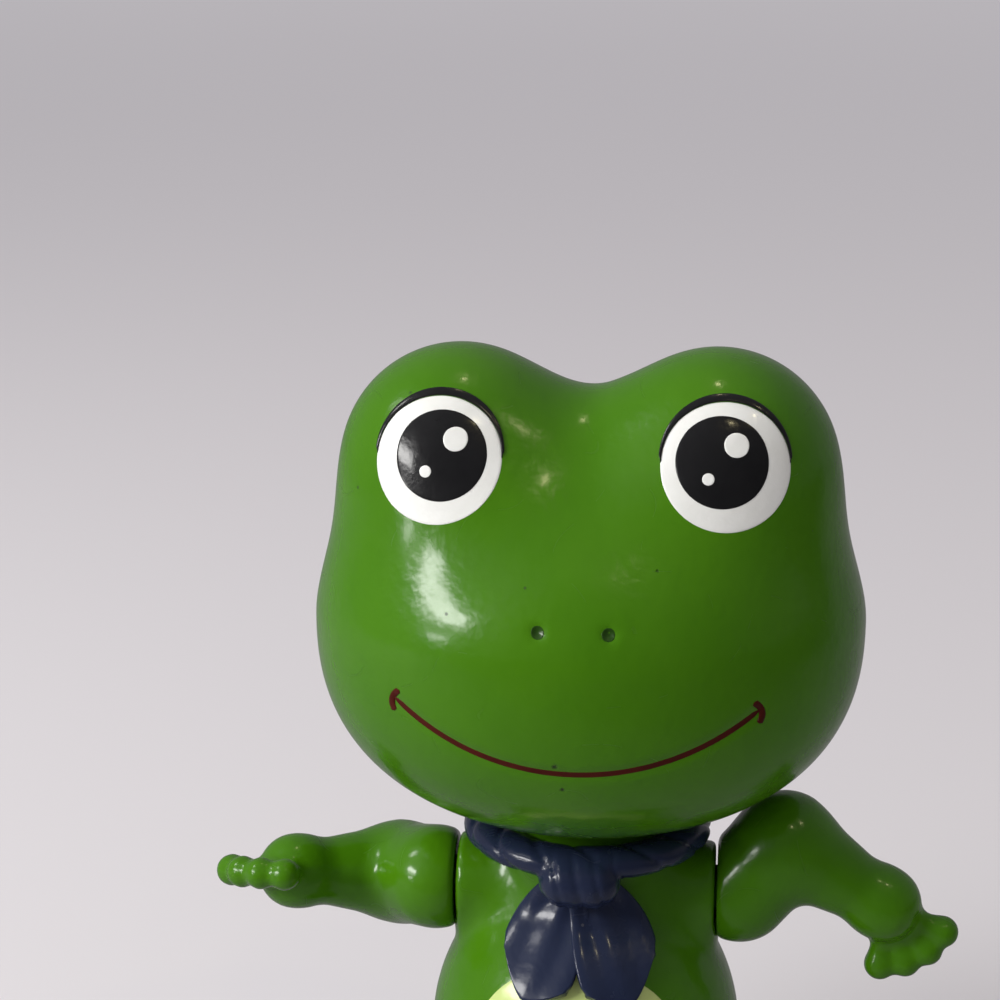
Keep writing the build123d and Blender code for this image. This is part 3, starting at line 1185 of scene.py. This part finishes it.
@dataclass(frozen=True)
class FacePaint:
    """The smile with its corner strokes, and the nostrils."""

    head: Head
    coat: float = 0.06
    stroke_coats: float = 1.5
    away: float = 70.0

    def stroke(self, line: Line, faces: int) -> BMesh:
        """A brushed line on the face.

        Args:
            line: Gives the line's places across and up from a number between -1 and 1.
            faces: How many faces it has along it.

        Returns:
            The line's mesh.
        """
        half = self.head.mouth_width / 2

        def drawing(along: Array, over: Array) -> Array:
            """Starts of the line's points."""
            x, z = line(along)
            next_x, next_z = line(along + 1e-3)
            size = np.hypot(next_x - x, next_z - z)
            width = half * np.sqrt(np.clip(1 - (np.abs(along) ** 40), 0.02, 1)) * over
            x, z = x - (next_z - z) / size * width, z + (next_x - x) / size * width
            return in_front(x, self.away, z)

        return sheet_on(self.head.form(), (0, 1, 0), drawing, ridge(self.coat, self.stroke_coats), faces, 6)

    def corner(self, side: Side) -> Line:
        """The short stroke across a corner of the mouth.

        Args:
            side: The corner's side.

        Returns:
            The stroke's line.
        """
        head = self.head

        def line(along: Array) -> tuple[Array, Array]:
            """Places on the stroke."""
            bend = head.dimple_lean * (1 - np.abs(along) ** 2) - head.dimple_lean * along / 2
            across = side.value * (head.mouth_half_width + bend)
            return across, head.mouth_corner + along * head.dimple_height / 2

        return line

    def build(self, workshop: Workshop) -> None:
        """Builds the smile and the nostrils."""
        head = self.head
        workshop.paint("mouth_line", self.stroke(head.smile, 110), Finish.RED)
        for side in Side:
            corner = self.stroke(self.corner(side), 24)
            workshop.paint(f"{side.word}_corner", corner, Finish.RED, "mouth_line", levels=0)
            middle = (side.value * head.nostril_spacing, head.nostril_height)
            drawing = front_disc(middle, (head.nostril_radius, head.nostril_radius), self.away)
            dot = sheet_on(head.form(), (0, 1, 0), drawing, flat_coat(self.coat), 14, 14)
            workshop.paint(f"{side.word}_nostril", dot, Finish.SHADE, "nostrils")


@dataclass(frozen=True)
class Torso:
    """The torso: a pear with a short neck and a round pad for each arm, and its belly patch."""

    floor: float = 17.0
    base_radius: float = 23.5
    belly_radius: float = 25.6
    belly_rise: float = 12.0
    chest_radius: float = 16.4
    chest_rise: float = 35.0
    neck_radius: float = 12.9
    neck_foot_rise: float = 44.8
    neck_top: float = 66.0
    base_round: float = 2.0
    shoulder_height: float = 55.5
    shoulder_reach: float = 21.2
    shoulder_radius: float = 7.8
    pad_round: float = 0.9
    blend: float = 5.0
    voxel: float = 1.0
    patch_half_width: float = 17.0
    patch_half_height: float = 15.0
    patch_rise: float = 17.5
    coat: float = 0.08

    def outline(self) -> tuple[tuple[float, float], ...]:
        """The pear's outline, from the axis at its floor to the axis at the neck's top."""
        base = (self.base_radius, self.floor + self.base_round)
        belly = (self.belly_radius, self.floor + self.belly_rise)
        chest = (self.chest_radius, self.floor + self.chest_rise)
        neck_foot = (self.neck_radius, self.floor + self.neck_foot_rise)
        lower = arc_through(base, belly, chest, 24)
        before = lower[-2]
        way = Vector((chest[0] - before[0], chest[1] - before[1]))
        chord = Vector((neck_foot[0] - chest[0], neck_foot[1] - chest[1]))
        lean = atan2(chord.cross(way), chord.dot(way))
        bow = Vector((-chord.y, chord.x)) * (tan(lean / 2) / 2)
        middle = (chest[0] + chord.x / 2 + bow.x, chest[1] + chord.y / 2 + bow.y)
        upper = arc_through(chest, middle, neck_foot, 12)[1:]
        start = (self.base_radius - self.base_round, self.floor)
        return ((0, self.floor), start, *lower, *upper, (self.neck_radius, self.neck_top), (0, self.neck_top))

    def form(self) -> Form:
        """The torso's whole form."""
        pear = Turned(self.outline())
        half = self.shoulder_reach / 2
        pads = [
            Drum((side.value * half, 0, self.shoulder_height), self.shoulder_radius, half, self.pad_round)
            for side in Side
        ]
        return Joined((pear, *pads), self.blend)

    def build(self, workshop: Workshop) -> None:
        """Builds the torso and the belly's paint."""
        workshop.moulding("torso", skin(self.form(), self.voxel))
        middle, radii = (0, self.floor + self.patch_rise), (self.patch_half_width, self.patch_half_height)
        drawing = front_disc(middle, radii, 2.0 * self.belly_radius)
        patch = sheet_on(self.form(), (0, 1, 0), drawing, flat_coat(self.coat), 48, 48)
        workshop.paint("belly", patch, Finish.PALE, "belly_patch", "torso")


@dataclass(frozen=True)
class Arm:
    """An arm with a raised elbow, a round palm and four padded fingers, about its own shoulder."""

    side: Side
    swing: float
    face: float = 21.5
    height: float = 55.5
    ball_radius: float = 8.6
    disc_radius: float = 7.8
    elbow_out: float = 11.0
    elbow_up: float = 8.3
    elbow_radius: float = 8.2
    forearm_length: float = 15.5
    forearm_droop: float = 31.0
    wrist_radius: float = 5.2
    palm_radius: float = 6.2
    finger_count: int = 4
    finger_droop: float = 58.0
    finger_fan: float = 22.0
    finger_reach: float = 10.8
    finger_root_radius: float = 2.4
    finger_end_radius: float = 1.7
    tip_radius: float = 2.6
    blend: float = 2.4
    finger_blend: float = 1.4
    edge: float = 0.9
    voxel: float = 0.62
    stem_start: float = -5.2
    flange_thickness: float = 2.2
    flange_radius: float = 5.2
    stem_radius: float = 4.0
    bore_radius: float = 2.6

    def form(self) -> Form:
        """The arm's form, with the middle of its shoulder face on the origin."""
        droop = radians(self.forearm_droop)
        forearm = Vector((cos(droop), 0, -sin(droop)))
        ball = Vector((sqrt(self.ball_radius**2 - self.disc_radius**2), 0, 0))
        elbow = Vector((self.elbow_out, 0, self.elbow_up))
        wrist = elbow + forearm * self.forearm_length
        palm = wrist + forearm * sqrt(self.palm_radius**2 - self.wrist_radius**2)
        upper = Taper(ball, elbow, self.ball_radius, self.elbow_radius)
        lower = Taper(elbow, wrist, self.elbow_radius, self.wrist_radius)
        limb = Joined((upper, lower, Ball(palm, self.palm_radius)), self.blend)
        fingers = []
        for finger in range(self.finger_count):
            turn = radians(self.finger_droop + self.finger_fan * (finger - (self.finger_count - 1) / 2))
            point = Vector((cos(turn), 0, -sin(turn)))
            tip = palm + point * self.finger_reach
            knuckle = tip - point * self.tip_radius
            fingers.append(Taper(palm, knuckle, self.finger_root_radius, self.finger_end_radius))
            fingers.append(Ball(tip, self.tip_radius))
        whole = Joined((limb, *fingers), self.finger_blend)
        return Trimmed(whole, (0, 0, 0), (-1, 0, 0), self.edge)

    def stem(self, bm: BMesh) -> None:
        """Adds the stem and its flange, along X."""
        flange = (self.flange_radius, self.stem_start, self.stem_start + self.flange_thickness)
        tube = bmesh.new()
        stem = (self.stem_radius, flange[2], self.edge)
        spin_outline(tube, stepped(self.bore_radius, flange, stem), steps=STEM_SPANS)
        bmesh.ops.rotate(tube, cent=(0, 0, 0), matrix=Matrix.Rotation(pi / 2, 3, "Y"), verts=tube.verts)
        bmesh.ops.recalc_face_normals(tube, faces=tube.faces)
        add_mesh(bm, tube)

    def build(self, workshop: Workshop) -> None:
        """Builds the arm in its place."""
        bm = skin(self.form(), self.voxel)
        self.stem(bm)
        if self.side is Side.RIGHT:
            bmesh.ops.scale(bm, vec=(-1, 1, 1), verts=bm.verts)
        swing = Matrix.Rotation(radians(-self.swing), 3, "X")
        bmesh.ops.rotate(bm, cent=(0, 0, 0), matrix=swing, verts=bm.verts)
        bmesh.ops.translate(bm, vec=(self.side.value * self.face, 0, self.height), verts=bm.verts)
        workshop.moulding(f"{self.side.word}_arm", bm)


@dataclass(frozen=True)
class Leg:
    """A leg: a round column on a webbed foot with three toes, about its own upright axis."""

    side: Side
    spacing: float = 13.0
    back: float = 4.0
    top: float = 16.7
    ankle_radius: float = 9.2
    calf_radius: float = 10.4
    calf_rise: float = 9.0
    thigh_radius: float = 9.8
    toe_count: int = 3
    toe_reach: float = 26.0
    toe_fan: float = 20.0
    toe_radius: float = 4.2
    ridge_radius: float = 3.0
    ridge_root_radius: float = 4.5
    ridge_height: float = 1.5
    web_reach: float = 0.84
    web_squash: float = 0.36
    web_toe_radius: float = 5.4
    turn_out: float = 14.0
    blend: float = 2.2
    edge: float = 0.8
    voxel: float = 0.75
    flange_base: float = 19.7
    flange_top: float = 21.9
    flange_radius: float = 6.8
    stem_radius: float = 5.0
    bore_radius: float = 2.6

    def form(self) -> Form:
        """The leg's form, with its axis on Z."""
        ankle, calf = (self.ankle_radius, 0), (self.calf_radius, self.calf_rise)
        sides = arc_through(ankle, calf, (self.thigh_radius, self.top), 16)
        column = Turned(((0, -2), (self.ankle_radius, -2), *sides, (0, self.top)))
        low = (0, 0, self.ridge_height)
        parts: list[Form] = [column]
        for toe in range(self.toe_count):
            turn = radians(self.toe_fan * (toe - (self.toe_count - 1) / 2) - 90)
            tip = (self.toe_reach * cos(turn), self.toe_reach * sin(turn), self.ridge_height)
            web_tip = (tip[0] * self.web_reach, tip[1] * self.web_reach, 0)
            parts.append(Taper((0, 0, 0), web_tip, self.ankle_radius, self.web_toe_radius, self.web_squash))
            parts.append(Taper(low, tip, self.ridge_root_radius, self.ridge_radius))
            parts.append(Ball(tip, self.toe_radius))
        return Trimmed(Joined(tuple(parts), self.blend), (0, 0, 0), (0, 0, -1), self.edge)

    def build(self, workshop: Workshop) -> None:
        """Builds the leg in its place."""
        bm = skin(self.form(), self.voxel)
        stem = (self.stem_radius, self.top - self.edge, self.flange_base)
        flange = (self.flange_radius, self.flange_base, self.flange_top)
        spin_outline(bm, stepped(self.bore_radius, stem, flange), steps=STEM_SPANS)
        turn = Matrix.Rotation(radians(self.side.value * self.turn_out), 3, "Z")
        bmesh.ops.rotate(bm, cent=(0, 0, 0), matrix=turn, verts=bm.verts)
        bmesh.ops.translate(bm, vec=(self.side.value * self.spacing, self.back, 0), verts=bm.verts)
        workshop.moulding(f"{self.side.word}_leg", bm)


@dataclass(frozen=True)
class Ring(Form):
    """The rolled band of the neckerchief, with folds that wind round it like a twist."""

    radius: float
    height: float
    half_width: float
    half_height: float
    fold_count: int
    fold_depth: float

    def distance(self, points: Array) -> Array:
        """About the distance of each point from the band."""
        out = np.hypot(points[:, 0], points[:, 1]) - self.radius
        up = points[:, 2] - self.height
        share = np.maximum(np.hypot(out / self.half_width, up / self.half_height), 0.05)
        round_it = np.arctan2(points[:, 1], points[:, 0])
        across = np.arctan2(up / self.half_height, out / self.half_width)
        fold = np.abs(np.sin(across + round_it * self.fold_count / 2))
        drawn = self.fold_depth * (1 - fold) ** 3
        return np.hypot(out, up) * (1 - 1 / share) + drawn

    def rough(self, bm: BMesh) -> None:
        """Spins the band's section."""
        outline = [
            (self.radius + self.half_width * cos(turn), self.height + self.half_height * sin(turn))
            for turn in (2 * pi * step / 16 for step in range(17))
        ]
        spin_outline(bm, outline)


@dataclass(frozen=True)
class Neckerchief:
    """The neckerchief: a rolled band, a knot and two tails that lie on the chest."""

    torso: Torso
    ring_radius: float = 16.8
    ring_height: float = 66.2
    half_width: float = 3.5
    half_height: float = 2.6
    fold_count: int = 14
    fold_depth: float = 0.55
    gap: float = 0.4
    knot_radius: float = 4.4
    knot_half_width: float = 5.6
    knot_height: float = 63.6
    knot_blend: float = 0.8
    knot_fold_spacing: float = 3.2
    knot_fold_depth: float = 0.5
    knot_fold_lean: float = 0.25
    tail_length: float = 22.0
    tail_root_half_width: float = 2.6
    tail_half_width: float = 6.4
    tail_thickness: float = 1.6
    tail_spread: float = 24.0
    tail_widest: float = 0.72
    tail_point: float = 0.22
    tail_narrowing: float = 0.12
    tail_flare: float = 0.5
    tail_layer: float = 0.35
    pleat_depth: float = 0.55
    pleats: float = 2.5
    away: float = 60.0
    voxel: float = 0.5

    def knot_folds(self, points: Array) -> Array:
        """How deep the knot's folds are at each point."""
        front = np.clip((-points[:, 1] - self.ring_radius) / 3, 0, 1)
        lean = points[:, 0] + self.knot_fold_lean * (points[:, 2] - self.knot_height)
        fold = np.abs(np.sin(lean * pi / self.knot_fold_spacing))
        on_knot = np.abs(points[:, 0]) < self.knot_half_width
        return self.knot_fold_depth * (1 - fold) ** 3 * front * on_knot

    def band_form(self) -> Form:
        """The rolled band with its knot."""
        section = (self.half_width, self.half_height, self.fold_count, self.fold_depth)
        ring = Ring(self.ring_radius, self.ring_height, *section)
        out = self.torso.neck_radius + self.gap + self.knot_radius
        inner = self.knot_half_width - self.knot_radius * 0.8
        ends = [(side.value * inner, -out, self.knot_height) for side in Side]
        knot = Taper(ends[0], ends[1], self.knot_radius, self.knot_radius)
        return Grooved(Joined((ring, knot), self.knot_blend), self.knot_folds)

    def tail(self, side: Side) -> BMesh:
        """One tail of the neckerchief, pleated where it leaves the knot."""
        spread = radians(side.value * self.tail_spread)

        def drawing(across: Array, down: Array) -> Array:
            """Starts of the tail's points."""
            share = (1 - down) / 2
            widen = np.sin(np.minimum(share / self.tail_widest, 1) * pi / 2)
            half = self.tail_root_half_width + (self.tail_half_width - self.tail_root_half_width) * widen
            point = np.clip((share - self.tail_widest) / (1 - self.tail_widest), 0, 1)
            length = self.tail_length * (share - self.tail_point * point * np.abs(across) ** 1.5)
            x, z = across * half * (1 - self.tail_narrowing * point), -length
            height = self.ring_height - self.half_height / 2 + (x * sin(spread) + z * cos(spread))
            return in_front(x * cos(spread) - z * sin(spread), self.away, height)

        def lift(across: Array, down: Array) -> Array:
            """Pleats that fade towards the tail's end, over the gap to the chest."""
            share = (1 - down) / 2
            pleat = 0.5 + 0.5 * np.cos(across * pi * self.pleats)
            flare = self.tail_flare * share**2 * np.abs(across) ** 2
            fade = np.clip(1.15 - share, 0, 1)
            layer = self.tail_layer if side is Side.LEFT else 0.0
            return self.gap + self.tail_thickness + self.pleat_depth * pleat * fade + flare + layer

        return sheet_on(Turned(self.torso.outline()), (0, 1, 0), drawing, lift, 28, 40)

    def build(self, workshop: Workshop) -> None:
        """Builds the band, the knot and the tails."""
        band = skin(self.band_form(), self.voxel)
        workshop.piece("neckerchief_band", band, "torso", "neckerchief", Finish.NAVY)
        for side in Side:
            name, tail = f"neckerchief_{side.word}_tail", self.tail(side)
            workshop.piece(name, tail, "torso", "neckerchief", Finish.NAVY, 1, self.tail_thickness)


@dataclass(frozen=True)
class Studio:
    """The camera, the lamps, the floor and the pale surroundings."""

    azimuth: float = 6.0
    elevation: float = 15.0
    distance: float = 0.3917
    lens: float = 55.0
    sensor: float = 22.3
    aim_right: float = -0.0144
    aim_height: float = 0.1211
    lamp_target: Point = (0, 0, 0.1)
    floor_size: float = 30.0
    floor_colour: Colour = (0.50, 0.485, 0.50, 1)
    floor_cloud: float = 0.96
    floor_glow: Colour = (0.23, 0.22, 0.232, 1)
    far_glow: Colour = (0.372, 0.363, 0.376, 1)
    far_reach: float = 7.0
    surround: Colour = (0.55, 0.53, 0.555, 1)
    ambient: float = 0.66
    dim_way: Point = (0.45, -0.89, 0.0)
    dim_share: float = 0.35
    dim_all: float = 0.6
    dim_reach: float = 0.22

    def add_camera(self) -> None:
        """Adds the camera at the photograph's angle."""
        turn, tip = radians(self.azimuth), radians(self.elevation)
        way = Vector((-sin(turn) * cos(tip), cos(turn) * cos(tip), -sin(tip)))
        target = Vector((self.aim_right * cos(turn), self.aim_right * sin(turn), self.aim_height))
        data = bpy.data.cameras.new("camera")
        data.lens = self.lens
        data.sensor_width = self.sensor
        data.clip_start = 0.01
        camera = bpy.data.objects.new("camera", data)
        camera.location = target - way * self.distance
        camera.rotation_euler = way.to_track_quat("-Z", "Y").to_euler()
        bpy.context.collection.objects.link(camera)
        bpy.context.scene.camera = camera

    def add_lamp(
        self, name: str, place: Point, size: Point, power: float, colour: Point, mirrored: bool = True
    ) -> None:
        """Adds a flat lamp that faces the frog.

        Args:
            name: The lamp's name.
            place: Where it hangs.
            size: Its width and height.
            power: Its power in watts.
            colour: Its colour.
            mirrored: Whether gloss shows it.
        """
        data = bpy.data.lights.new(name, "AREA")
        data.shape = "RECTANGLE"
        data.size, data.size_y = size
        data.energy = power
        data.color = colour
        lamp = bpy.data.objects.new(name, data)
        lamp.location = place
        way = Vector(self.lamp_target) - Vector(place)
        lamp.rotation_euler = way.to_track_quat("-Z", "Y").to_euler()
        lamp.visible_glossy = mirrored
        bpy.context.collection.objects.link(lamp)

    def add_lamps(self) -> None:
        """Adds the window light at the left and a few small warm lamps."""
        daylight, lamplight = (1.0, 0.99, 0.97), (1.0, 0.86, 0.5)
        self.add_lamp("soft_window", (-0.66, -0.40, 0.66), (0.7, 0.7), 6.1, daylight, mirrored=False)
        self.add_lamp("window", (-0.735, -0.485, 0.425), (0.36, 0.13), 3.4, daylight)
        self.add_lamp("low_window", (-0.752, -0.53, 0.205), (0.14, 0.05), 0.4, daylight)
        self.add_lamp("high_window", (-0.68, -0.05, 0.74), (0.12, 0.20), 1.2, daylight)
        for name, place in (
            ("lamp_a", (0.59, -0.31, 1.10)),
            ("lamp_b", (0.0, 0.18, 1.28)),
            ("lamp_c", (0.25, -0.60, 1.10)),
        ):
            self.add_lamp(name, place, (0.07, 0.05), 0.35, lamplight)

    def add_floor(self) -> None:
        """Adds the pale floor."""
        shader = Shader("pale_floor")
        tone = shader.noise(0.8, 2.0, 0.5)
        darker = tuple(self.floor_cloud * part for part in self.floor_colour[:3]) + (1,)
        shader.set("Roughness", 0.9)
        shader.set("Specular IOR Level", 0.0)
        ahead = (shader.along(self.dim_way) * (1 / self.dim_reach)).larger(0.0)
        dimmed = (1.0 - (1.0 - ahead).larger(0.0)) * self.dim_share + self.dim_all
        lit = shader.mix(tone, self.floor_colour, darker)
        shader.set("Base Color", shader.mix(seen_directly(shader.tree, dimmed, 1.0), (0, 0, 0, 1), lit))
        far = shader.distance_to((0, 0, 0)) * (1 / self.far_reach)
        glow = shader.mix(far, self.floor_glow, self.far_glow)
        glow = shader.mix(seen_directly(shader.tree, dimmed), (0, 0, 0, 1), glow)
        shader.set("Emission Color", glow)
        shader.set("Emission Strength", 1.0)
        bm = bmesh.new()
        bmesh.ops.create_grid(bm, x_segments=1, y_segments=1, size=self.floor_size / 2)
        floor = new_object("floor", bm)
        bm.free()
        floor.data.materials.append(shader.material)

    def add_surroundings(self) -> None:
        """Adds the light from all round, which reflections show darker, most of all in front of the frog."""
        world = bpy.data.worlds.new("surroundings")
        bpy.context.scene.world = world
        world.use_nodes = True
        tree = world.node_tree
        background = tree.nodes["Background"]
        along = tree.nodes.new("ShaderNodeVectorMath")
        along.operation = "DOT_PRODUCT"
        along.inputs[1].default_value = self.dim_way
        tree.links.new(tree.nodes.new("ShaderNodeTexCoord").outputs["Generated"], along.inputs[0])
        dimmed = Value(tree, along.outputs["Value"]).larger(0.0) * self.dim_share + self.dim_all
        strength = seen_directly(tree, dimmed, self.ambient)
        background.inputs["Color"].default_value = self.surround
        tree.links.new(strength.socket, background.inputs["Strength"])

    def build(self) -> None:
        """Sets up the whole studio."""
        self.add_camera()
        self.add_lamps()
        self.add_floor()
        self.add_surroundings()
        bpy.context.scene.view_settings.view_transform = "Standard"


def main() -> None:
    """Builds the studio and then the frog, piece by piece."""
    logging.basicConfig(level=logging.INFO, format="%(name)s: %(message)s")
    Studio().build()
    workshop = Workshop()
    head = Head()
    head.build(workshop)
    for side in Side:
        Eye(side, head).build(workshop)
    FacePaint(head).build(workshop)
    torso = Torso()
    torso.build(workshop)
    Arm(Side.LEFT, swing=0.0).build(workshop)
    Arm(Side.RIGHT, swing=110.0).build(workshop)
    for side in Side:
        Leg(side).build(workshop)
    Neckerchief(torso).build(workshop)


if __name__ == "__main__":
    main()
